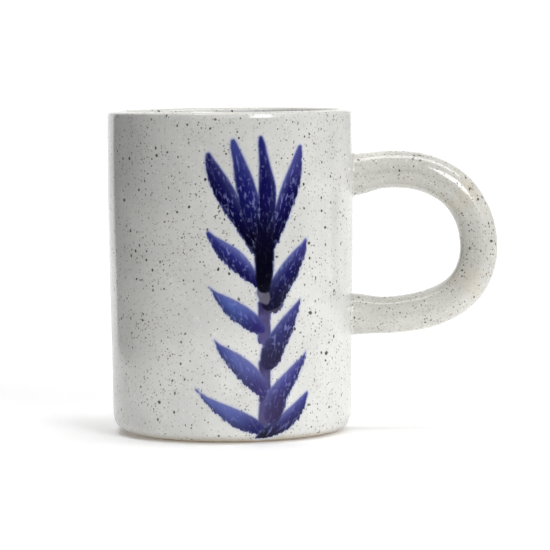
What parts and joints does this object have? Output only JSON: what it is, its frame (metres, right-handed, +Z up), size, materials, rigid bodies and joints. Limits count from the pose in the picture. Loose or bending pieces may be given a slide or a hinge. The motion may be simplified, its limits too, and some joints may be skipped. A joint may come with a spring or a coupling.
{
  "type": "stoneware mug",
  "caption": "Straight-sided glazed stoneware mug with a round D-shaped coil handle and a brushed blue flower sprig on its front.",
  "frame": {"origin": "on the cup's own axis, in the plane of the foot ring; the flat bottom inside the ring is 0.7 mm above it", "axes": "+Z up out of the mouth, +X towards the handle, -Y out of the painted front"},
  "size_m": [0.1252, 0.079, 0.103],
  "materials": {
    "clay": "bare fired stoneware, matte, fine grog",
    "glaze": "warm off-white glossy glaze with small dark iron speckles",
    "cobalt": "brushed cobalt blue in the glaze, streaked, darker where it pools"
  },
  "bodies": {
    "root": {"cup_body": "clay", "handle": "clay", "upper_handle_weld": "glaze", "lower_handle_weld": "glaze", "wall_glaze": "glaze", "liner_glaze": "glaze", "handle_glaze": "glaze", "base_glaze": "glaze", "painted_sprig": "cobalt"}
  },
  "joints": []
}
